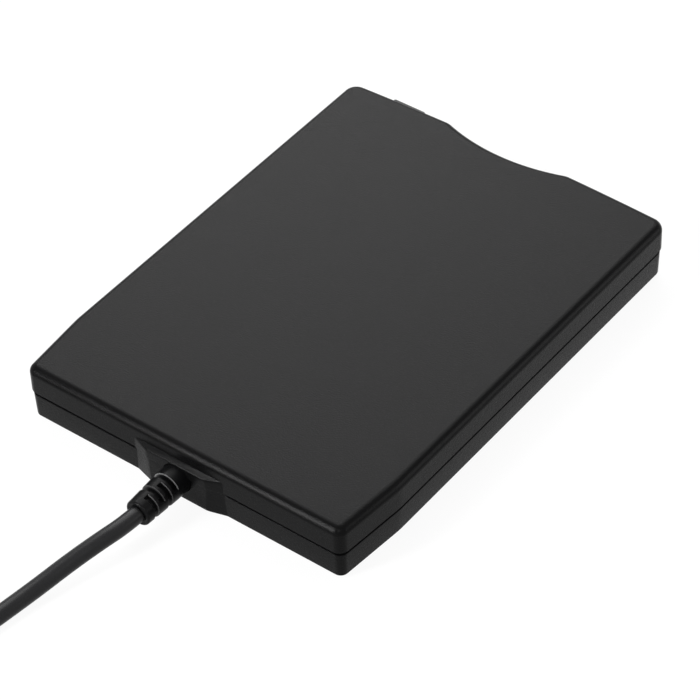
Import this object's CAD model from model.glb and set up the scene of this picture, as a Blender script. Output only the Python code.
import math
import bmesh
import bpy
import numpy as np
from mathutils import Matrix, Vector


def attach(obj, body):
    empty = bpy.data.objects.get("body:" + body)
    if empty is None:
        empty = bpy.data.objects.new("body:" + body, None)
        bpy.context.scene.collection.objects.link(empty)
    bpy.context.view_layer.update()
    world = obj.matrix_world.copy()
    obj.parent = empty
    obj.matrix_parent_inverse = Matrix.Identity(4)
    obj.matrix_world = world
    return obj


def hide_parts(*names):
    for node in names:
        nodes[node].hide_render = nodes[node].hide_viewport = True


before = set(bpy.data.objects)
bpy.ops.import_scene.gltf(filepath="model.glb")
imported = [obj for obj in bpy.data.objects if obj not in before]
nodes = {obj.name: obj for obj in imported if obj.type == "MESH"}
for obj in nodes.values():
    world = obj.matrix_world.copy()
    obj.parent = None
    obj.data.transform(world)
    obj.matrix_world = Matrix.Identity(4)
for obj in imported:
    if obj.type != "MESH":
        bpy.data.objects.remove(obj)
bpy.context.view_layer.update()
mm = 0.001


# Angles in degrees, distances in millimetres. The aim is where the axis of the lens passes the object.
shot = {
    "azimuth": 218.97,
    "elevation": 43.31,
    "roll": -2.58,
    "distance": 818.5,
    "lens": 163.55,
    "sensor": 36.0,
    "clip": (0.01, 50.0),  # metres
    "aim": (0.0, 0.0, 9.0),
    "aside": (-0.64, -9.29),  # the picture's middle lies this far right of and above the aim
}


def direction(azimuth, elevation):
    # the unit vector towards a place at these angles in degrees: azimuth 0 is ahead of the front, at -Y
    turn, rise = math.radians(azimuth), math.radians(elevation)
    return Vector((math.sin(turn) * math.cos(rise), -math.cos(turn) * math.cos(rise), math.sin(rise)))


def addCamera(spec):
    turn, roll = math.radians(spec["azimuth"]), math.radians(spec["roll"])
    back = direction(spec["azimuth"], spec["elevation"])
    level = Vector((math.cos(turn), math.sin(turn), 0))
    rise = back.cross(level)
    right = level * math.cos(roll) + rise * math.sin(roll)
    up = rise * math.cos(roll) - level * math.sin(roll)
    aside, above = spec["aside"]
    place = (Vector(spec["aim"]) + right * aside + up * above + back * spec["distance"]) * mm
    lens = bpy.data.cameras.new("camera")
    lens.lens = spec["lens"]
    lens.sensor_width = spec["sensor"]
    lens.clip_start, lens.clip_end = spec["clip"]
    camera = bpy.data.objects.new("camera", lens)
    camera.matrix_world = Matrix.Translation(place) @ Matrix((right, up, back)).transposed().to_4x4()
    bpy.context.scene.collection.objects.link(camera)
    bpy.context.scene.camera = camera


addCamera(shot)
print("camera is set")


def newMaterial(name):
    material = bpy.data.materials.new(name)
    material.use_nodes = True
    tree = material.node_tree
    return material, tree, tree.nodes["Principled BSDF"]


def addNoise(tree, coordinates, scale, detail=2.0, rough=0.5):
    noise = tree.nodes.new("ShaderNodeTexNoise")
    noise.inputs["Scale"].default_value = scale
    noise.inputs["Detail"].default_value = detail
    noise.inputs["Roughness"].default_value = rough
    tree.links.new(coordinates, noise.inputs["Vector"])
    return noise.outputs["Fac"]


def addRange(tree, value, low, high, fromLow=0.3, fromHigh=0.7):
    spread = tree.nodes.new("ShaderNodeMapRange")
    spread.inputs["From Min"].default_value = fromLow
    spread.inputs["From Max"].default_value = fromHigh
    spread.inputs["To Min"].default_value = low
    spread.inputs["To Max"].default_value = high
    tree.links.new(value, spread.inputs["Value"])
    return spread.outputs["Result"]


def addBlend(tree, factor, first, second):
    ramp = tree.nodes.new("ShaderNodeMix")
    ramp.data_type = "RGBA"
    ramp.inputs["A"].default_value = (*first, 1)
    ramp.inputs["B"].default_value = (*second, 1)
    tree.links.new(factor, ramp.inputs["Factor"])
    return ramp.outputs["Result"]


def addBump(tree, height, depth, strength=1.0, before=None):
    bump = tree.nodes.new("ShaderNodeBump")
    bump.inputs["Distance"].default_value = depth
    bump.inputs["Strength"].default_value = strength
    tree.links.new(height, bump.inputs["Height"])
    if before is not None:
        tree.links.new(before, bump.inputs["Normal"])
    return bump.outputs["Normal"]


# Each moulded or painted finish: two colours that it drifts between, its roughness on the crests and in the
# hollows of its grain, the size and the depth of the grain in millimetres, and how much light its surface
# mirrors. An edgeColour tints the edges that the mesh marks with its "edge" attribute.
moulded = {
    "caseMoulding": dict(colours=((0.0022, 0.0022, 0.0023), (0.003, 0.003, 0.0031)), rough=(0.16, 0.3),
                         grain=0.38, depth=0.08, mirror=0.045),
    "doorMoulding": dict(colours=((0.006, 0.006, 0.0065), (0.008, 0.008, 0.0085)), rough=(0.38, 0.48),
                         grain=0.6, depth=0.008, mirror=0.15),
    "buttonMoulding": dict(colours=((0.008, 0.008, 0.0085), (0.011, 0.011, 0.0115)), rough=(0.28, 0.36),
                           grain=0.5, depth=0.006, mirror=0.2),
    "reliefRubber": dict(colours=((0.003, 0.003, 0.0032), (0.0042, 0.0042, 0.0045)), rough=(0.26, 0.36),
                         grain=0.8, depth=0.01, mirror=0.055, edgeColour=(0.17, 0.17, 0.17)),
    "cableJacket": dict(colours=((0.006, 0.006, 0.0065), (0.009, 0.009, 0.0095)), rough=(0.28, 0.4),
                        grain=1.1, depth=0.012, mirror=0.16),
    "footRubber": dict(colours=((0.014, 0.014, 0.014), (0.022, 0.022, 0.022)), rough=(0.75, 0.9),
                       grain=0.5, depth=0.03, mirror=0.2),
    "plugMoulding": dict(colours=((0.006, 0.006, 0.0065), (0.008, 0.008, 0.0085)), rough=(0.32, 0.42),
                         grain=0.5, depth=0.03, mirror=0.15),
    "tongueResin": dict(colours=((0.78, 0.78, 0.75), (0.84, 0.84, 0.8)), rough=(0.35, 0.45),
                        grain=0.5, depth=0.004, mirror=0.5),
    "switchResin": dict(colours=((0.05, 0.05, 0.055), (0.07, 0.07, 0.075)), rough=(0.4, 0.5),
                        grain=0.5, depth=0.01, mirror=0.4),
    "plungerResin": dict(colours=((0.72, 0.72, 0.7), (0.8, 0.8, 0.77)), rough=(0.3, 0.4),
                         grain=0.5, depth=0.003, mirror=0.5),
    "carriageResin": dict(colours=((0.6, 0.57, 0.5), (0.7, 0.67, 0.6)), rough=(0.4, 0.5),
                          grain=0.8, depth=0.01, mirror=0.4),
    "connectorResin": dict(colours=((0.74, 0.7, 0.58), (0.82, 0.79, 0.68)), rough=(0.35, 0.45),
                           grain=0.6, depth=0.005, mirror=0.5),
    "chipResin": dict(colours=((0.02, 0.02, 0.021), (0.03, 0.03, 0.031)), rough=(0.5, 0.62),
                      grain=0.3, depth=0.01, mirror=0.4),
    "boardLacquer": dict(colours=((0.012, 0.09, 0.035), (0.02, 0.14, 0.055)), rough=(0.25, 0.35),
                         grain=1.6, depth=0.01, mirror=0.5),
    "ironBoard": dict(colours=((0.012, 0.06, 0.03), (0.018, 0.09, 0.045)), rough=(0.3, 0.42),
                      grain=2.0, depth=0.01, mirror=0.5),
    "headCeramic": dict(colours=((0.7, 0.7, 0.72), (0.76, 0.76, 0.78)), rough=(0.12, 0.2),
                        grain=0.4, depth=0.001, mirror=0.5),
    "flexFilm": dict(colours=((0.5, 0.22, 0.04), (0.6, 0.28, 0.06)), rough=(0.2, 0.3),
                     grain=1.5, depth=0.004, mirror=0.5),
    "leadSleeving": dict(colours=((0.4, 0.03, 0.02), (0.5, 0.05, 0.03)), rough=(0.35, 0.45),
                         grain=0.6, depth=0.004, mirror=0.5),
    "lensGreen": dict(colours=((0.12, 0.4, 0.08), (0.16, 0.5, 0.11)), rough=(0.12, 0.18),
                      grain=0.6, depth=0.002, mirror=0.5),
}


grainRule = {
    "drift": 55.0,  # patches of colour to a metre
    "finer": 2.6,  # the second grain is this many times finer
    "finerDepth": 0.4,  # and has this share of the depth
    "strength": 0.8,
    "finerStrength": 0.6,
}


def mouldedMaterial(name, spec):
    # colour drifts over broad patches; two sizes of grain stand up from the surface, with smoother crests
    material, tree, shader = newMaterial(name)
    place = tree.nodes.new("ShaderNodeTexCoord").outputs["Object"]
    grainsPerMetre = 1000 / spec["grain"]
    depth = spec["depth"] * mm
    broad = addNoise(tree, place, grainRule["drift"], 3.0)
    fine = addNoise(tree, place, grainsPerMetre, 2.0, 0.55)
    finest = addNoise(tree, place, grainsPerMetre * grainRule["finer"], 1.0)
    colour = addBlend(tree, broad, *spec["colours"])
    if "edgeColour" in spec:
        mark = tree.nodes.new("ShaderNodeAttribute")
        mark.attribute_name = "edge"
        rubbed = tree.nodes.new("ShaderNodeMix")
        rubbed.data_type = "RGBA"
        rubbed.inputs["B"].default_value = (*spec["edgeColour"], 1)
        tree.links.new(mark.outputs["Fac"], rubbed.inputs["Factor"])
        tree.links.new(colour, rubbed.inputs["A"])
        colour = rubbed.outputs["Result"]
    tree.links.new(colour, shader.inputs["Base Color"])
    crest, hollow = spec["rough"]
    tree.links.new(addRange(tree, fine, hollow, crest), shader.inputs["Roughness"])
    shader.inputs["Specular IOR Level"].default_value = spec["mirror"]
    first = addBump(tree, fine, depth, grainRule["strength"])
    second = addBump(tree, finest, depth * grainRule["finerDepth"], grainRule["finerStrength"], first)
    tree.links.new(second, shader.inputs["Normal"])
    return material


# Each metal: two colours, two roughnesses, how fine its grain is along each axis, and the grain's depth
metals = {
    "zincSheet": dict(colours=((0.5, 0.51, 0.52), (0.62, 0.63, 0.64)), rough=(0.28, 0.42),
                      stretch=(60, 900, 900), depth=0.004),
    "groundSteel": dict(colours=((0.58, 0.58, 0.58), (0.68, 0.68, 0.68)), rough=(0.16, 0.26),
                        stretch=(900, 80, 900), depth=0.002),
    "screwSteel": dict(colours=((0.3, 0.3, 0.31), (0.42, 0.42, 0.43)), rough=(0.25, 0.4),
                       stretch=(500, 500, 500), depth=0.004),
    "springWire": dict(colours=((0.42, 0.42, 0.42), (0.52, 0.52, 0.51)), rough=(0.22, 0.34),
                       stretch=(900, 900, 200), depth=0.002),
    "nickelShell": dict(colours=((0.66, 0.65, 0.62), (0.74, 0.73, 0.7)), rough=(0.14, 0.26),
                        stretch=(900, 90, 900), depth=0.003),
    "windingCopper": dict(colours=((0.62, 0.24, 0.09), (0.74, 0.32, 0.13)), rough=(0.25, 0.4),
                          stretch=(1500, 1500, 4000), depth=0.02),
    "coreSteel": dict(colours=((0.2, 0.2, 0.21), (0.3, 0.3, 0.31)), rough=(0.4, 0.55),
                      stretch=(300, 300, 6000), depth=0.01),
    "ferrite": dict(colours=((0.06, 0.06, 0.062), (0.09, 0.09, 0.092)), rough=(0.5, 0.65),
                    stretch=(900, 900, 900), depth=0.01),
    "bearingBronze": dict(colours=((0.5, 0.32, 0.14), (0.6, 0.4, 0.18)), rough=(0.35, 0.5),
                          stretch=(900, 900, 900), depth=0.008),
}


def metalMaterial(name, spec):
    # a drawn-out noise gives the brushing, and a broad one the dull and bright patches
    material, tree, shader = newMaterial(name)
    place = tree.nodes.new("ShaderNodeTexCoord").outputs["Object"]
    stretch = tree.nodes.new("ShaderNodeMapping")
    stretch.inputs["Scale"].default_value = spec["stretch"]
    tree.links.new(place, stretch.inputs["Vector"])
    brushed = addNoise(tree, stretch.outputs["Vector"], 1.0, 3.0)
    broad = addNoise(tree, place, 90.0, 3.0)
    tree.links.new(addBlend(tree, brushed, *spec["colours"]), shader.inputs["Base Color"])
    tree.links.new(addRange(tree, broad, *spec["rough"]), shader.inputs["Roughness"])
    shader.inputs["Metallic"].default_value = 1.0
    tree.links.new(addBump(tree, brushed, spec["depth"] * mm, 0.5), shader.inputs["Normal"])
    return material


finishes = {name: mouldedMaterial(name, spec) for name, spec in moulded.items()}
finishes.update({name: metalMaterial(name, spec) for name, spec in metals.items()})
print("materials are made:", len(finishes))


def makePiece(name, points, faces, finish, smoothAngle=35.0):
    # points in millimetres; equal ones are merged, so closed rows and poles become closed surfaces
    mesh = bpy.data.meshes.new(name)
    mesh.from_pydata((np.asarray(points, float) * mm).tolist(), [], np.asarray(faces).tolist())
    work = bmesh.new()
    work.from_mesh(mesh)
    bmesh.ops.remove_doubles(work, verts=work.verts, dist=1e-7)
    bmesh.ops.dissolve_degenerate(work, edges=work.edges, dist=1e-7)
    bmesh.ops.recalc_face_normals(work, faces=work.faces)
    work.to_mesh(mesh)
    work.free()
    mesh.materials.append(finishes[finish])
    piece = bpy.data.objects.new(name, mesh)
    bpy.context.scene.collection.objects.link(piece)
    smooth(piece, smoothAngle)
    return piece


def smooth(piece, angle):
    piece.data.shade_smooth()
    piece.data.set_sharp_from_angle(angle=math.radians(angle))


def gridFaces(rows, columns):
    # the quads of a grid of points numbered row by row, in which each row is a closed ring
    row = np.arange(rows - 1)[:, None] * columns
    column = np.arange(columns)[None, :]
    beside = (column + 1) % columns
    quads = [row + column, row + beside, row + columns + beside, row + columns + column]
    return np.stack(quads, -1).reshape(-1, 4)


def makeGrid(name, points, finish, smoothAngle=35.0):
    faces = gridFaces(*points.shape[:2])
    return makePiece(name, points.reshape(-1, 3), faces, finish, smoothAngle)


def arcPoints(centre, radius, start, end, count):
    # points and outward normals of a circle's arc, with angles in radians: centre + radius (cos a, sin a)
    angle = np.linspace(start, end, count)
    normal = np.stack([np.cos(angle), np.sin(angle)], -1)
    return np.asarray(centre) + radius * normal, normal


def combine(target, tool, how):
    # cuts the tool from the target, or joins it to it, and removes the tool
    change = target.modifiers.new(how.lower(), "BOOLEAN")
    change.operation = how
    change.object = tool
    change.solver = "EXACT"
    bpy.context.view_layer.update()
    graph = bpy.context.evaluated_depsgraph_get()
    result = bpy.data.meshes.new_from_object(target.evaluated_get(graph))
    target.modifiers.clear()
    target.data = result
    bpy.data.objects.remove(tool)


def boxTool(low, high):
    # an upright box between two corners, as a cutter
    x, y, z = zip(low, high)
    corners = [(x[i], y[j], z[k]) for k in (0, 1) for j in (0, 1) for i in (0, 1)]
    faces = [(0, 2, 3, 1), (4, 5, 7, 6), (0, 1, 5, 4), (2, 6, 7, 3), (0, 4, 6, 2), (1, 3, 7, 5)]
    return makePiece("cutter", corners, faces, "caseMoulding")


def lathe(stations, count):
    # a surface of revolution about +Z: ring k has height stations[k][0] and radius stations[k][1]
    stations = np.asarray(stations, float)
    turn = np.linspace(0, 2 * np.pi, count, endpoint=False)
    radius = stations[:, 1:]
    height = np.repeat(stations[:, :1], count, 1)
    return np.stack([radius * np.cos(turn), radius * np.sin(turn), height], -1)


def repeated(form, spots):
    # one closed form at several places in plan, as the points and faces of a single mesh
    rows, columns = form.shape[:2]
    points = np.concatenate([(form + [x, y, 0]).reshape(-1, 3) for x, y in spots])
    faces = np.concatenate([gridFaces(rows, columns) + k * rows * columns for k in range(len(spots))])
    return points, faces


def uprights(spots, low, high, radius, count=28):
    # upright round posts or holes, each a closed surface of revolution
    post = lathe([(low, 0), (low, radius), (high, radius), (high, 0)], count)
    return makePiece("cutter", *repeated(post, spots), "caseMoulding")


def closedEnds(rows, x, z):
    # rings along +Y, of which the first and the last are drawn in to the point (x, z)
    middle = [x, 0, z]
    return np.stack([rows[0] * [0, 1, 0] + middle] + rows + [rows[-1] * [0, 1, 0] + middle])


def roundedPolygon(corners, radii, inset=0.0, steps=11, sidePoints=0):
    # A ring of points round a polygon given anticlockwise. Each side moves in by the inset; at each corner
    # the arc's centre is C = P - (inset + r) (n0 + n1) / (1 + n0.n1), and the arc turns from one side's
    # normal to the next one's. Points may be set along the sides too.
    corners = np.asarray(corners, float)
    ring = []
    for k, (corner, radius) in enumerate(zip(corners, radii)):
        before, after = corner - corners[k - 1], corners[(k + 1) % len(corners)] - corner
        first = np.array([before[1], -before[0]]) / np.hypot(*before)
        second = np.array([after[1], -after[0]]) / np.hypot(*after)
        centre = corner - (inset + radius) * (first + second) / (1 + first @ second)
        start = math.atan2(first[1], first[0])
        turn = (math.atan2(second[1], second[0]) - start) % (2 * math.pi)
        ring.append(arcPoints(centre, radius, start, start + turn, steps)[0])
    if sidePoints:
        share = (np.arange(sidePoints) + 1)[:, None] / (sidePoints + 1)
        ring = [np.concatenate([arc, arc[-1] + share * (ring[(k + 1) % len(ring)][0] - arc[-1])])
                for k, arc in enumerate(ring)]
    return np.concatenate(ring)


def laidAlong(points, x, y, z):
    # turns a form made about +Z to lie along +Y, starting at the given place
    return np.stack([points[..., 0] + x, points[..., 2] + y, -points[..., 1] + z], -1)


plan = {
    "halfWidth": 51.5,
    "front": -69.85,
    "rear": 69.85,
    "bow": 1.33,
    "taper": 1.9,
    "taperLength": 21.3,
    "frontRound": 3.95,
    "rearRound": 2.8,
    "kinkRound": 30.0,
    "scallopRadius": 57.0,
    "scallopDepth": 3.5,
    "scallopLip": 5.5,
    "frontLimit": -55.0,  # only the front edge lies ahead of this
    "spine": (-40.0, 45.0),  # the middle line to which flat faces draw in
}


def planOutline(spec):
    # Half of the outline, from the thumb scallop's middle to the rear wall's middle, as tangent arcs:
    # scallop, lip, bowed front, front corner, the bend where the side turns in, rear corner. The other half
    # mirrors it.
    half, front, rear = spec["halfWidth"], spec["front"], spec["rear"]
    bowRadius = (half**2 + spec["bow"]**2) / (2 * spec["bow"])
    bowY = front + bowRadius
    hollow, lip = spec["scallopRadius"], spec["scallopLip"]
    hollowY = front + spec["scallopDepth"] - hollow
    difference = (bowRadius - lip)**2 - (hollow + lip)**2
    lipY = (bowY**2 - hollowY**2 - difference) / (2 * (bowY - hollowY))
    lipX = math.sqrt((hollow + lip)**2 - (lipY - hollowY)**2)
    corner = spec["frontRound"]
    cornerY = bowY - math.sqrt((bowRadius - corner)**2 - (half - corner)**2)
    kink = rear - spec["taperLength"]
    turn = math.atan2(spec["taper"], spec["taperLength"])
    bend = spec["kinkRound"]
    back = spec["rearRound"]
    reach = half * math.cos(turn) + kink * math.sin(turn) - back
    backX = (reach - (rear - back) * math.sin(turn)) / math.cos(turn)
    toLip = math.atan2(lipY - hollowY, lipX)
    fromBow = math.atan2(lipY - bowY, lipX)
    toCorner = math.atan2(cornerY - bowY, half - corner)
    parts = []
    place, normal = arcPoints((0, hollowY), hollow, math.pi / 2, toLip, 22)
    parts.append((place, -normal))
    parts.append(arcPoints((lipX, lipY), lip, toLip + math.pi, fromBow + 2 * math.pi, 9))
    parts.append(arcPoints((0, bowY), bowRadius, fromBow, toCorner, 14))
    parts.append(arcPoints((half - corner, cornerY), corner, toCorner, 0, 15))
    parts.append(arcPoints((half - bend, kink - bend * math.tan(turn / 2)), bend, 0, turn, 4))
    parts.append(arcPoints((backX, rear - back), back, turn, math.pi / 2, 13))
    parts.append((np.array([[0, rear]]), np.array([[0.0, 1.0]])))
    places = np.concatenate([p for p, n in parts])
    normals = np.concatenate([n for p, n in parts])
    return [np.concatenate([side, side[-2:0:-1] * [-1, 1]]) for side in (places, normals)]


outline, outward = planOutline(plan)


def planSurface(section):
    # Each row is the outline moved in by the row's inset, at the row's height: P - inset * N. An inset of
    # None draws the row in to the middle line, where its two halves meet and close the surface.
    rows = []
    for inset, height in section:
        if inset is None:
            place = np.stack([outline[:, 0] * 0, np.clip(outline[:, 1], *plan["spine"])], -1)
        else:
            place = outline - inset * outward
        rows.append(np.concatenate([place, np.full((len(place), 1), height)], 1))
    return np.stack(rows)


def roundedCorner(inset, height, radius, start, end, count):
    # a quarter round in the wall's section: inset - r cos a, height + r sin a
    angle = np.radians(np.linspace(start, end, count))
    return [(inset - radius * math.cos(a), height + radius * math.sin(a)) for a in angle]


shell = {
    "roof": 17.5,
    "parting": 9.4,
    "underside": 1.0,
    "wall": 1.8,
    "ceiling": 15.9,
    "floor": 2.5,
    "roofRound": 2.3,
    "baseRound": 0.4,
    "splitRound": 0.14,
    "splitRise": 0.1,  # the shadow line between the halves: the upper one ends this far above the parting
    "splitDrop": 1.0,  # and the lower one this far below it, outside its lip
    "overhang": 0.35,
    "draft": 0.22,
    "lipRise": 1.0,
    "lipThick": 0.8,
    "fit": 0.1,
    "rooted": 0.4,  # posts and lugs reach this far into the wall that carries them
    "roofRows": (0.3, 0.12),  # rows this far from a round keep the flat beside it flat in the shading
    "baseRows": (0.4, 0.2),
    "wallRow": 0.15,
    "smoothAngle": 12.5,
}

boss = {
    "x": 0.35,
    "out": 1.3,
    "halfAtWall": 13.95,
    "halfAtFace": 9.3,
    "top": 13.15,
    "slope": 0.85,
    "low": 1.2,
    "draw": 0.5,  # the lower half is this much narrower at its bottom, on each side
    "split": 0.15,  # the lower half ends this far below the parting
    "root": 0.6,  # it starts this far inside the wall's face
    "edge": 0.28,
    "edgeShare": 0.8,  # of the edge's round, by which the sides and the top move in
    "topEdge": 0.9,
    "hole": 4.25,
    "holeHeight": 7.7,
    "holeStart": 64.0,
    "holeEdge": 0.2,
}

# the openings in the front wall, and the button and the light that stand in two of them
slot = {"x": 0.0, "halfWidth": 46.0, "low": 6.7, "high": 11.1, "gap": 0.0,
        "corner": 0.3, "flare": 0.35, "back": 5.4, "sidePoints": 48}
button = {"x": 34.0, "halfWidth": 5.2, "low": 12.2, "high": 14.8, "gap": 0.2,
          "corner": 0.5, "flare": 0.25, "back": 6.0, "sidePoints": 3,
          "face": -71.35, "end": -61.75, "edge": 0.4,
          "stemHalf": 3.0, "stemLow": 12.9, "stemHigh": 14.2, "stemStart": -62.75, "stemEnd": -48.0}
light = {"x": -34.0, "halfWidth": 1.8, "low": 14.0, "high": 15.2, "gap": 0.05,
         "corner": 0.25, "flare": 0.15, "back": 6.0, "sidePoints": 8,
         "face": -69.25, "end": -55.3, "edge": 0.25}

# how far cutters stand out past the wall that they open, and how far their round mouths do
cutter = {"past": 2.0, "mouthPast": 0.02, "holePast": 0.01}

# what stands inside the case and what is sunk in its underside, in millimetres
inside = {
    "caseScrews": [(41.9, 63.45), (-41.9, 63.45)],
    "chassisPosts": [(35.9, -48.3), (-35.9, -48.3), (40.9, 50.0), (-40.9, 21.5)],
    "boardPosts": [(-41.8, 54.5), (-41.8, 33.5), (-20.0, 33.5)],
    "rests": [(-20.0, -32.0), (-20.0, -4.0), (20.0, -32.0), (20.0, -4.0)],
    "feet": [(39.5, -54.85), (-39.5, -54.85), (39.5, 43.85), (-39.5, 43.85)],
    "hinge": (-63.7, 11.45),
    "lug": (47.1, 48.4),
    "lugReach": 1.5,
    "lugBore": 0.76,
    "screwLevel": 5.0,  # where the two halves' screw posts meet
    "screwSeat": 3.2,  # from here on, radii of posts and holes and the levels that they reach
    "screwPost": 2.6,
    "screwWay": 1.2,
    "screwHead": 2.3,
    "headLevel": 2.6,
    "pilot": 1.05,
    "pilotTop": 11.6,
    "chassisPost": 3.2,
    "chassisLevel": 3.3,
    "chassisPilot": (1.9, 4.3),
    "boardPost": 2.0,
    "boardLevel": 5.0,
    "boardPilot": (2.9, 6.0),
    "rest": 1.5,
    "restLevel": 2.7,
    "footSeat": 4.6,
    "footLevel": 1.5,
}


def quarterRound(edge):
    # how far a quarter round of the given radius has gone along and across: e sin t and e (1 - cos t)
    turn = np.linspace(0, np.pi / 2, 10)
    return edge * np.sin(turn), edge * (1 - np.cos(turn))


def bossHalf(low, high, slope, draw, back, lowEdge, highEdge):
    # One half of the seat round the cable, as a loft along +Y. In each row the half width follows the
    # distance from the wall on a straight line, the top drops by the slope, and the sides draw in towards
    # the bottom; the last rows move in on a quarter round, which rounds the outer edges over.
    flare = (boss["halfAtWall"] - boss["halfAtFace"]) / boss["out"]
    along, across = quarterRound(boss["edge"])
    rows = []
    for out, inset in [(back - boss["root"], 0.0)] + list(zip(boss["out"] - boss["edge"] + along, across)):
        half = boss["halfAtFace"] + flare * (boss["out"] - out)
        top = high - slope * out / boss["out"]
        corners = [(draw - half, low), (half - draw, low), (half, top), (-half, top)]
        ring = roundedPolygon(corners, (lowEdge, lowEdge, highEdge, highEdge), inset * boss["edgeShare"])
        y = np.full(len(ring), plan["rear"] + out - back)
        rows.append(np.stack([ring[:, 0] + boss["x"], y, ring[:, 1]], -1))
    return makeGrid("boss", closedEnds(rows, boss["x"], (low + high) / 2), "caseMoulding")


def holeTool(back):
    # the round hole for the strain relief, whose mouth opens on a quarter round
    edge, radius = boss["holeEdge"], boss["hole"]
    face = plan["rear"] + boss["out"] - back + cutter["holePast"]
    along, across = quarterRound(edge)
    stations = [(boss["holeStart"], 0), (boss["holeStart"], radius)]
    stations += list(zip(face - edge + along, radius + across))
    stations += [(face + cutter["past"], radius + edge), (face + cutter["past"], 0)]
    hole = laidAlong(lathe(stations, 72), boss["x"], 0, boss["holeHeight"])
    return makeGrid("cutter", hole, "caseMoulding")


def frontAt(x):
    # how far forward the front of the case lies at a distance from its middle
    front = outline[outline[:, 1] < plan["frontLimit"]]
    front = front[np.argsort(front[:, 0])]
    return np.interp(x, front[:, 0], front[:, 1])


def mouthTool(spec):
    # An opening in the front wall: a rounded rectangle in X and Z carried back along +Y from the wall's
    # curved face, y = front(x) + depth. Its mouth opens on a quarter round of radius e: at depth
    # e (1 - cos t) the rectangle is e (1 - sin t) larger all round.
    gap, edge = spec["gap"], spec["flare"]
    x0, x1 = spec["x"] - spec["halfWidth"] - gap, spec["x"] + spec["halfWidth"] + gap
    z0, z1 = spec["low"] - gap, spec["high"] + gap
    corners = [(x0, z0), (x1, z0), (x1, z1), (x0, z1)]
    along, across = quarterRound(edge)
    stations = [(-cutter["past"], edge)] + list(zip(across - cutter["mouthPast"], edge - along))
    stations.append((spec["back"], 0.0))
    rows = []
    for depth, growth in stations:
        ring = roundedPolygon(corners, [spec["corner"] + growth] * 4, -growth, 10, spec["sidePoints"])
        rows.append(np.stack([ring[:, 0], frontAt(ring[:, 0]) + depth, ring[:, 1]], -1))
    middle = [0, 0, (z0 + z1) / 2]
    first, last = [row * [1, 1, 0] + middle for row in (rows[0], rows[-1])]
    return makeGrid("cutter", np.stack([first] + rows + [last]), "caseMoulding")


def upperShell():
    # section: from the roof's middle out over the edge, down to the split, and back in under the ceiling
    roof, edge = shell["roof"], shell["splitRound"]
    split = shell["parting"] + shell["splitRise"]
    bend, beside = shell["roofRound"], shell["wallRow"]
    wall, ceiling = shell["wall"], shell["ceiling"]
    groove = wall - shell["lipThick"] - shell["fit"]
    grooveTop = shell["parting"] + shell["lipRise"] + shell["fit"]
    section = [(None, roof)] + [(bend + row, roof) for row in shell["roofRows"]]
    section += roundedCorner(bend, roof - bend, bend, 90, 0, 19)
    section += [(0, roof - bend - beside), (0, split + edge + beside)]
    section += roundedCorner(edge, split + edge, edge, 0, -90, 10)
    section += [(groove, split), (groove, grooveTop), (wall, grooveTop), (wall, ceiling), (None, ceiling)]
    piece = makeGrid("upperShell", planSurface(section), "caseMoulding")
    seat = bossHalf(shell["parting"], boss["top"], slope=boss["slope"], draw=0.0, back=0.0,
                    lowEdge=edge, highEdge=boss["topEdge"])
    combine(piece, seat, "UNION")
    for tool in (mouthTool(slot), mouthTool(button), mouthTool(light), holeTool(0.0)):
        combine(piece, tool, "DIFFERENCE")
    rootLevel = ceiling + shell["rooted"]
    hingeY, hingeZ = inside["hinge"]
    reach, radius = inside["lugReach"], inside["lugBore"]
    lugIn, lugOut = inside["lug"]
    for x0, x1 in ((lugIn, lugOut), (-lugOut, -lugIn)):
        lug = boxTool((x0, hingeY - reach, hingeZ - reach), (x1, hingeY + reach, rootLevel))
        combine(piece, lug, "UNION")
        bore = lathe([(x0 - 1, 0), (x0 - 1, radius), (x1 + 1, radius), (x1 + 1, 0)], 24)
        bore = np.stack([bore[..., 2], bore[..., 0] + hingeY, bore[..., 1] + hingeZ], -1)
        combine(piece, makeGrid("cutter", bore, "caseMoulding"), "DIFFERENCE")
    screws, level = inside["caseScrews"], inside["screwLevel"]
    combine(piece, uprights(screws, level, rootLevel, inside["screwPost"]), "UNION")
    combine(piece, uprights(screws, level - 1, inside["pilotTop"], inside["pilot"]), "DIFFERENCE")
    smooth(piece, shell["smoothAngle"])
    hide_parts("upper_shell")
    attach(piece, "housing")


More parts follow.
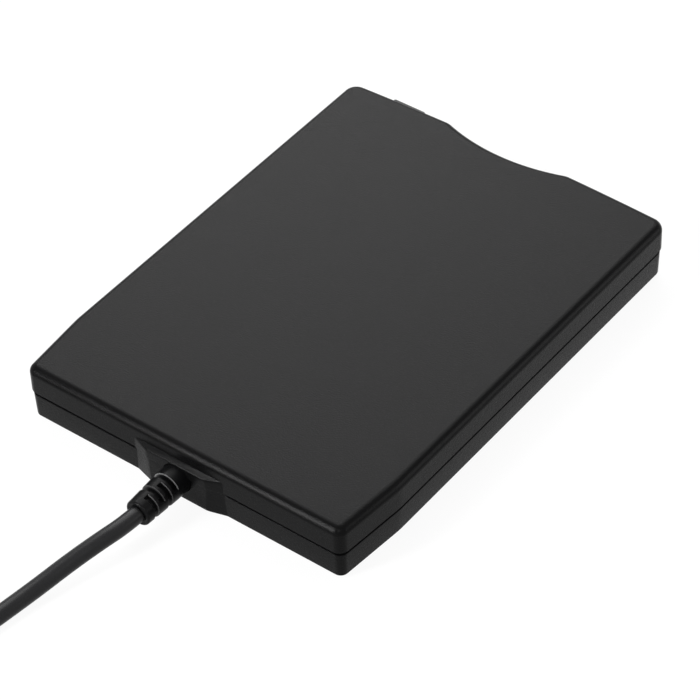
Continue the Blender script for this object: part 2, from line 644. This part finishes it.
def lowerShell():
    # section: from the underside's middle out round its edge, up to the split, over the lip and back in
    low, edge = shell["underside"], shell["splitRound"]
    split = shell["parting"] - shell["splitDrop"]
    over = shell["overhang"]
    bend = shell["baseRound"]
    base = over + shell["draft"] + bend
    wall, floor = shell["wall"], shell["floor"]
    lip = wall - shell["lipThick"]
    top = shell["parting"] + shell["lipRise"]
    section = [(None, low)] + [(base + row, low) for row in shell["baseRows"]]
    section += roundedCorner(base, low + bend, bend, -90, 0, 10)
    section += [(over, split - edge - shell["wallRow"])]
    section += roundedCorner(over + edge, split - edge, edge, 0, 90, 10)
    section += [(lip, split), (lip, top), (wall, top), (wall, floor), (None, floor)]
    piece = makeGrid("lowerShell", planSurface(section), "caseMoulding")
    seat = bossHalf(boss["low"], shell["parting"] - boss["split"], slope=0.0, draw=boss["draw"], back=over,
                    lowEdge=boss["edge"], highEdge=edge)
    combine(piece, seat, "UNION")
    for tool in (mouthTool(slot), holeTool(over)):
        combine(piece, tool, "DIFFERENCE")
    screws, chassis, board = inside["caseScrews"], inside["chassisPosts"], inside["boardPosts"]
    rootLevel, past = floor - shell["rooted"], inside["screwLevel"] + 1
    for post in (uprights(screws, rootLevel, inside["screwLevel"], inside["screwSeat"]),
                 uprights(chassis, rootLevel, inside["chassisLevel"], inside["chassisPost"]),
                 uprights(board, rootLevel, inside["boardLevel"], inside["boardPost"]),
                 uprights(inside["rests"], rootLevel, inside["restLevel"], inside["rest"])):
        combine(piece, post, "UNION")
    for hole in (uprights(chassis, *inside["chassisPilot"], inside["pilot"]),
                 uprights(board, *inside["boardPilot"], inside["pilot"]),
                 uprights(screws, 0, past, inside["screwWay"]),
                 uprights(screws, 0, inside["headLevel"], inside["screwHead"], 40),
                 uprights(inside["feet"], 0, inside["footLevel"], inside["footSeat"], 64)):
        combine(piece, hole, "DIFFERENCE")
    smooth(piece, shell["smoothAngle"])
    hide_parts("lower_shell")
    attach(piece, "housing")


upperShell()
lowerShell()
print("case shells are made")


cable = {
    "diameter": 4.6,
    "exit": (boss["x"], 86.0, boss["holeHeight"]),
    "rest": 2.36,
    "coilCentre": (41.0, 149.5),
    "coilMiddle": 26.0,
    "turns": 3.5,
    "pointsPerTurn": 16,
    "steps": (0.8, 0.95, 1.7, 1.87, 2.6, 2.75),  # turns at which the steps between lanes start and end
}

exitX, exitY, exitZ = cable["exit"]
coilX, coilY = cable["coilCentre"]
coilOuter = cable["coilMiddle"] + cable["diameter"] / 2

# the run from the strain relief down to the floor and out to the coil, in millimetres
leadRoute = [
    (exitX, exitY, exitZ),
    (exitX + 0.25, exitY + 5.0, exitZ),
    (2.2, exitY + 11.5, exitZ - 0.5),
    (4.9, exitY + 20.0, exitZ - 2.4),
    (7.4, exitY + 29.5, cable["rest"] + 0.8),
    (9.3, exitY + 40.0, cable["rest"]),
    (10.8, exitY + 51.0, cable["rest"]),
    (coilX - coilOuter + 0.4, coilY - 3.0, cable["rest"]),
    (coilX - coilOuter + 1.1, coilY + 6.0, cable["rest"]),
]

# the run from the coil to the plug
tailRoute = [
    (coilX + coilOuter, coilY + 1.0, 6.96),
    (coilX + coilOuter + 0.3, coilY - 5.0, 6.36),
    (coilX + coilOuter + 0.8, coilY - 11.5, 4.6),
    (coilX + coilOuter + 1.2, coilY - 18.0, 3.8),
]


def coilRoute(spec):
    # The turns in four lanes, one after the other: outer and inner on the floor, then inner and outer on
    # top. Radius and height step from lane to lane along short stretches, and the angle runs clockwise from
    # the west side.
    diameter, middle = spec["diameter"], spec["coilMiddle"]
    count = int(spec["turns"] * spec["pointsPerTurn"])
    turns = np.linspace(0, spec["turns"], count + 1)[1:-1]
    inner, outer = middle - diameter / 2, middle + diameter / 2
    low, high = spec["rest"], spec["rest"] + diameter
    stations = [0, *spec["steps"], spec["turns"]]
    radius = np.interp(turns, stations, [outer, outer, inner, inner, inner, inner, outer, outer])
    height = np.interp(turns, stations, [low, low, low, low, high, high, high, high])
    radius = radius / math.cos(math.pi / spec["pointsPerTurn"])
    angle = math.pi - 2 * math.pi * turns
    x, y = spec["coilCentre"]
    return np.stack([x + radius * np.cos(angle), y + radius * np.sin(angle), height], -1).tolist()


def makeCable():
    route = leadRoute + coilRoute(cable) + tailRoute
    curve = bpy.data.curves.new("cable", "CURVE")
    curve.dimensions = "3D"
    spline = curve.splines.new("NURBS")
    spline.points.add(len(route) - 1)
    for point, place in zip(spline.points, route):
        point.co = (*[value * mm for value in place], 1)
    spline.order_u = 3
    spline.use_endpoint_u = True
    spline.resolution_u = 6
    curve.bevel_depth = cable["diameter"] / 2 * mm
    curve.bevel_resolution = 6
    curve.use_fill_caps = True
    curve.materials.append(finishes["cableJacket"])
    piece = bpy.data.objects.new("cable", curve)
    bpy.context.scene.collection.objects.link(piece)
    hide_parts("cable_lead", "cable_coil", "cable_tail")
    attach(piece, "housing")
    return piece


cord = makeCable()
print("cable is made")


relief = {
    "x": exitX,
    "height": exitZ,
    "start": 66.25,
    "face": plan["rear"] + boss["out"],
    "end": exitY,
    "rootRadius": 4.15,
    "tipRadius": 3.6,
    "flangeRadius": 5.0,
    "flangeEnd": 67.95,
    "coreRadius": 2.7,
    "slots": 4,
    "firstSlot": 3.6,  # from the boss's face; the taper starts here too
    "slotPitch": 2.43,
    "slotWidth": 1.5,
    "slotSpan": 240.0,  # degrees round the relief
    "slotTurn": 38.0,  # degrees above +X to the middle of the first slot
    "endRound": 0.55,
    "edge": 0.2,
    "mouthFit": 0.05,  # the mouth is this much smaller than the cable, and this deep
    "mouthDepth": 0.25,
    "rows": 320,
    "columns": 144,
    "markStep": 0.05,  # the edge marks look this far on to tell which side of a slot they are on
    "markDepth": 0.14,  # and are brightest at this depth
}


def smoothStep(value):
    # 3 v^2 - 2 v^3, from 0 to 1
    value = np.clip(value, 0, 1)
    return value * value * (3 - 2 * value)


def slotDepth(s, a):
    # 1 inside a slot and 0 outside: a smooth step in the distance s times one in the angle a, for each slot
    depth = 0 * (s + a)
    halfWidth, halfSpan = relief["slotWidth"] / 2, math.radians(relief["slotSpan"] / 2)
    edge = relief["edge"]
    for k in range(relief["slots"]):
        side = math.radians(relief["slotTurn"]) + math.pi * (k % 2)
        middle = relief["firstSlot"] + halfWidth + k * relief["slotPitch"]
        alongSlot = smoothStep((halfWidth - np.abs(s - middle)) / edge + 0.5)
        away = np.abs((a - side + np.pi) % (2 * np.pi) - np.pi)
        roundSlot = smoothStep((halfSpan - away) * relief["rootRadius"] / (2 * edge) + 0.5)
        depth = np.maximum(depth, alongSlot * roundSlot)
    return depth


def reliefSurface():
    # Radius r(s, a) on a fine grid of distance s and angle a. It is plain up to the first slot, then a
    # straight taper to the tip, which is rounded over; the slots lower r to the core.
    length, tip = relief["end"] - relief["face"], relief["endRound"]
    s = np.concatenate([np.linspace(relief["flangeEnd"] - relief["face"], 0, 4, endpoint=False),
                        np.linspace(0, length - tip, relief["rows"]),
                        length - tip * (1 - np.sin(np.linspace(0, np.pi / 2, 12)[1:]))])
    a = np.linspace(0, 2 * np.pi, relief["columns"], endpoint=False)
    share = np.clip((s - relief["firstSlot"]) / (length - relief["firstSlot"]), 0, 1)
    taper = relief["rootRadius"] + (relief["tipRadius"] - relief["rootRadius"]) * share
    past = np.clip((s - (length - tip)) / tip, 0, 1)
    outer = taper - tip * (1 - np.sqrt(1 - past**2))
    radius = np.repeat(outer[:, None], len(a), 1)
    depth = slotDepth(s[:, None], a[None, :])
    radius = radius + (np.minimum(radius, relief["coreRadius"]) - radius) * depth
    x = radius * np.cos(a)
    z = radius * np.sin(a)
    y = np.repeat(s[:, None], len(a), 1)
    return np.stack([x + relief["x"], y + relief["face"], z + relief["height"]], -1)


def markEdges(piece):
    # the attribute for the edge colour: 1 along the rounded edge of each slot, on the side of the case
    mesh = piece.data
    places = np.empty(len(mesh.vertices) * 3)
    mesh.vertices.foreach_get("co", places)
    x, y, z = places.reshape(-1, 3).T / mm - np.array([[relief["x"]], [relief["face"]], [relief["height"]]])
    angle = np.arctan2(z, x)
    depth = slotDepth(y, angle)
    rising = slotDepth(y + relief["markStep"], angle) > depth
    mark = np.clip(1 - np.abs(depth / relief["markDepth"] - 1), 0, 1) * rising
    mesh.attributes.new("edge", "FLOAT", "POINT").data.foreach_set("value", mark)


def makeRelief():
    # a flange inside the boss, the slotted body, and a mouth in which the cable's end sits
    body = reliefSurface()
    turn = np.linspace(0, 2 * np.pi, body.shape[1], endpoint=False)

    def ring(y, radius):
        x, z = radius * np.cos(turn) + relief["x"], radius * np.sin(turn) + relief["height"]
        return np.stack([x, np.full(len(turn), y), z], -1)

    start, flange = relief["start"], relief["flangeRadius"]
    bottom = relief["end"] - relief["mouthDepth"]
    first = [ring(start, 0), ring(start, flange), ring(relief["flangeEnd"], flange)]
    last = [ring(bottom, cable["diameter"] / 2 - relief["mouthFit"]), ring(bottom, 0)]
    points = np.concatenate([np.stack(first), body, np.stack(last)])
    piece = makeGrid("strainRelief", points, "reliefRubber", smoothAngle=40)
    markEdges(piece)
    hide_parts("strain_relief")
    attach(piece, "housing")
    return piece


boot = makeRelief()
print("strain relief is made")


plug = {
    "x": 70.5,
    "height": 3.8,
    "front": 98.5,
    "back": 124.5,
    "bootEnd": 131.5,
    "halfWidth": 7.8,
    "halfHeight": 3.8,
    "bootRadius": 3.5,
    "tipRadius": 2.9,
    "nose": 1.2,  # the front draws in over this length, by this share
    "noseDraw": 0.06,
    "neck": (-2.0, 4.5),  # from the back, where the bar starts to narrow, and over what length
    "square": 5.0,  # the section's power along the bar; the round boot's is 2
    "ribs": 5,
    "ribMiddle": 13.0,  # from the front
    "ribPitch": 2.6,
    "ribDepth": 0.45,
}


def plugGrip():
    # A rounded bar: |x/w|^n + |z/h|^n = 1 in section. Along its length it draws in at the front, is ribbed
    # across the middle by a row of grooves, and narrows at the back to the round boot on the cable.
    front, end, nose = plug["front"], plug["bootEnd"], plug["nose"]
    y = np.concatenate([[front, front], front + np.linspace(0, 1, 9)[1:]**0.6 * nose,
                        np.linspace(front + nose + 0.2, end - 0.4, 150), [end - 0.1, end, end]])
    a = np.linspace(0, 2 * np.pi, 72, endpoint=False)
    ahead = np.clip((front + nose - y) / nose, 0, 1)
    drawn = 1 - plug["noseDraw"] * (1 - np.sqrt(1 - ahead**2))
    neckStart, neckLength = plug["neck"]
    share = smoothStep((y - plug["back"] - neckStart) / neckLength)
    width = plug["halfWidth"] * drawn * (1 - share) + plug["bootRadius"] * share
    height = plug["halfHeight"] * drawn * (1 - share) + plug["bootRadius"] * share
    boot = np.clip((y - plug["back"]) / (end - plug["back"]), 0, 1)
    shrink = 1 - (1 - plug["tipRadius"] / plug["bootRadius"]) * boot
    power = (plug["square"] * (1 - share) + 2 * share)[:, None]
    phase = (y - front - plug["ribMiddle"]) / plug["ribPitch"]
    ribbed = (np.abs(phase) < plug["ribs"] / 2) * (0.5 - 0.5 * np.cos(2 * np.pi * phase))
    cosine, sine = np.cos(a)[None, :], np.sin(a)[None, :]
    norm = (np.abs(cosine)**power + np.abs(sine)**power)**(-1 / power)
    x = norm * cosine * (width * shrink)[:, None]
    z = norm * sine * (height * shrink)[:, None]
    onFlats = smoothStep((np.abs(sine) - 0.35) / 0.25)  # the ribs fade out towards the sides
    onFlats = onFlats * smoothStep((0.8 - np.abs(x) / plug["halfWidth"]) / 0.2)
    z = z - np.sign(z) * onFlats * ribbed[:, None] * plug["ribDepth"]
    x[0] = x[-1] = 0
    z[0] = z[-1] = 0
    points = np.stack([x + plug["x"], np.repeat(y[:, None], len(a), 1), z + plug["height"]], -1)
    piece = makeGrid("plugGrip", points, "plugMoulding", smoothAngle=50)
    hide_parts("plug_grip")
    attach(piece, "housing")
    return piece


grip = plugGrip()
print("plug is made")


def roundedBar(spec):
    # a bar along +Y with rounded long edges, whose front end is crowned and rounded over: each row is a
    # rounded rectangle that is moved in by its own share of the edge
    x0, x1 = spec["x"] - spec["halfWidth"], spec["x"] + spec["halfWidth"]
    z0, z1 = spec["low"], spec["high"]
    face, edge = spec["face"], spec["edge"]
    corners = [(x0, z0), (x1, z0), (x1, z1), (x0, z1)]
    stations = [(face, 2.2), (face + 0.02, 1), (face + 0.3 * edge, 0.3), (face + edge, 0), (spec["end"], 0)]
    rows = []
    for y, share in stations:
        ring = roundedPolygon(corners, [edge] * 4, share * edge, 6)
        rows.append(np.stack([ring[:, 0], np.full(len(ring), y), ring[:, 1]], -1))
    return closedEnds(rows, spec["x"], (z0 + z1) / 2)


def makeButton():
    piece = makeGrid("ejectButton", roundedBar(button), "buttonMoulding")
    x, half = button["x"], button["stemHalf"]
    stem = boxTool((x - half, button["stemStart"], button["stemLow"]),
                   (x + half, button["stemEnd"], button["stemHigh"]))
    combine(piece, stem, "UNION")
    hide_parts("eject_button")
    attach(piece, "eject_plate")


def makeLight():
    piece = makeGrid("activityLight", roundedBar(light), "lensGreen")
    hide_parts("activity_light")
    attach(piece, "housing")


feet = {"radius": 4.5, "top": 1.5, "round": 0.5, "hollow": 0.12, "rim": (1.6, 1.1)}


def makeFeet():
    # four low discs, turned from a profile with a rounded lower edge and a slightly hollow face
    radius, edge = feet["radius"], feet["round"]
    hollowEnd, rimStart = [radius - width for width in feet["rim"]]
    profile = [(feet["hollow"], 0), (feet["hollow"], hollowEnd), (0, rimStart), (0, radius - edge)]
    for angle in np.linspace(0.2, np.pi / 2, 6):
        profile.append((edge - edge * math.cos(angle), radius - edge + edge * math.sin(angle)))
    profile += [(feet["top"], radius), (feet["top"], 0)]
    piece = makePiece("feet", *repeated(lathe(profile, 48), inside["feet"]), "footRubber")
    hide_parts("rubber_feet")
    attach(piece, "housing")


makeButton()
makeLight()
makeFeet()
print("button, light and feet are made")


nodeFinish = {
    "doorMoulding": ["dust_door"],
    "zincSheet": ["mechanism_chassis", "mechanism_cover", "disk_carrier", "eject_slider", "latch_lever",
                  "rotor_cup", "upper_head_arm", "screw_bracket", "stepper_motor"],
    "groundSteel": ["latch_stud", "spindle_shaft", "spindle_hub", "drive_pin", "arm_hinge_pin",
                    "guide_rods", "lead_screw"],
    "screwSteel": ["case_screws", "mechanism_screws"],
    "springWire": ["door_spring", "eject_springs", "latch_spring", "head_load_spring"],
    "nickelShell": ["plug_shell", "crystal"],
    "windingCopper": ["stator_coils"],
    "coreSteel": ["stator_core"],
    "ferrite": ["rotor_magnet"],
    "bearingBronze": ["spindle_bearing"],
    "tongueResin": ["plug_tongue"],
    "switchResin": ["media_switches", "track_zero_sensor"],
    "plungerResin": ["disk_switch_plunger", "protect_switch_plunger", "density_switch_plunger"],
    "carriageResin": ["head_carriage"],
    "connectorResin": ["cable_connector"],
    "chipResin": ["board_chips"],
    "boardLacquer": ["main_board"],
    "ironBoard": ["motor_board"],
    "headCeramic": ["upper_head", "lower_head"],
    "flexFilm": ["head_flex", "motor_link"],
    "leadSleeving": ["inner_leads"],
}

for finish, names in nodeFinish.items():
    for name in names:
        mesh = nodes[name].data
        mesh.materials.clear()
        mesh.materials.append(finishes[finish])


stage = {
    "floorSize": 12.0,
    "floorColour": (0.94, 0.94, 0.94),
    "floorRough": 0.9,
    "whiteShare": 0.92,  # how much of the floor that is seen is plain white, and not lit paper
    "worldLevel": 0.35,  # the sky's light on the object; seen directly its level is 1
}

# Lamps on spheres round the object: azimuth 0 is ahead of the front, sizes and distances are in metres.
# The first two light the roof, leftStrip the rear edge, rightSoft the side at -X, and nearStrip the edges
# round the rear corner on that side.
lamps = {
    "farSoftbox": dict(azimuth=34.0, elevation=52.0, distance=2.2, size=(1.9, 1.7), level=4.1),
    "farLow": dict(azimuth=42.0, elevation=31.0, distance=2.4, size=(0.9, 0.5), level=8.5),
    "leftStrip": dict(azimuth=160.0, elevation=25.0, distance=0.75, size=(0.11, 0.5), level=42.0),
    "rightSoft": dict(azimuth=307.0, elevation=13.0, distance=1.6, size=(0.9, 0.7), level=3.4),
    "nearStrip": dict(azimuth=220.0, elevation=41.0, distance=2.4, size=(0.5, 0.2), level=40.0),
}


def addMath(tree, operation, first, second):
    step = tree.nodes.new("ShaderNodeMath")
    step.operation = operation
    tree.links.new(first, step.inputs[0])
    if isinstance(second, float):
        step.inputs[1].default_value = second
    else:
        tree.links.new(second, step.inputs[1])
    return step.outputs[0]


def seenDirectly(tree):
    # 1 for rays that come straight from the camera, a mirror or glass, and 0 for the others
    path = tree.nodes.new("ShaderNodeLightPath").outputs
    either = addMath(tree, "MAXIMUM", path["Is Camera Ray"], path["Is Glossy Ray"])
    return addMath(tree, "MAXIMUM", either, path["Is Transmission Ray"])


def makeFloor():
    half = stage["floorSize"] / 2
    mesh = bpy.data.meshes.new("floor")
    corners = [(-half, -half, 0), (half, -half, 0), (half, half, 0), (-half, half, 0)]
    mesh.from_pydata(corners, [], [(0, 1, 2, 3)])
    material, tree, shader = newMaterial("floorPaper")
    shader.inputs["Base Color"].default_value = (*stage["floorColour"], 1)
    shader.inputs["Roughness"].default_value = stage["floorRough"]
    shader.inputs["Specular IOR Level"].default_value = 0.0
    glow = tree.nodes.new("ShaderNodeEmission")
    blend = tree.nodes.new("ShaderNodeMixShader")
    share = addMath(tree, "MULTIPLY", seenDirectly(tree), stage["whiteShare"])
    tree.links.new(share, blend.inputs["Fac"])
    tree.links.new(shader.outputs[0], blend.inputs[1])
    tree.links.new(glow.outputs[0], blend.inputs[2])
    tree.links.new(blend.outputs[0], tree.nodes["Material Output"].inputs["Surface"])
    mesh.materials.append(material)
    floor = bpy.data.objects.new("floor", mesh)
    bpy.context.scene.collection.objects.link(floor)


def makeWorld():
    world = bpy.data.worlds.new("studio")
    world.use_nodes = True
    tree = world.node_tree
    background = tree.nodes["Background"]
    background.inputs["Color"].default_value = (1, 1, 1, 1)
    level = addRange(tree, seenDirectly(tree), stage["worldLevel"], 1.0, 0.0, 1.0)
    tree.links.new(level, background.inputs["Strength"])
    bpy.context.scene.world = world


def makeLamp(name, spec):
    # a soft rectangular lamp that faces the object; its level is the brightness of its face
    towards = direction(spec["azimuth"], spec["elevation"])
    width, height = spec["size"]
    lamp = bpy.data.lights.new(name, "AREA")
    lamp.shape = "RECTANGLE"
    lamp.size = width
    lamp.size_y = height
    lamp.energy = spec["level"] * math.pi * width * height
    holder = bpy.data.objects.new(name, lamp)
    holder.location = towards * spec["distance"]
    holder.visible_camera = False
    holder.rotation_euler = towards.to_track_quat("Z", "Y").to_euler()
    bpy.context.scene.collection.objects.link(holder)


makeFloor()
makeWorld()
for name, spec in lamps.items():
    makeLamp(name, spec)
bpy.context.scene.view_settings.view_transform = "Standard"
print("stage is set")
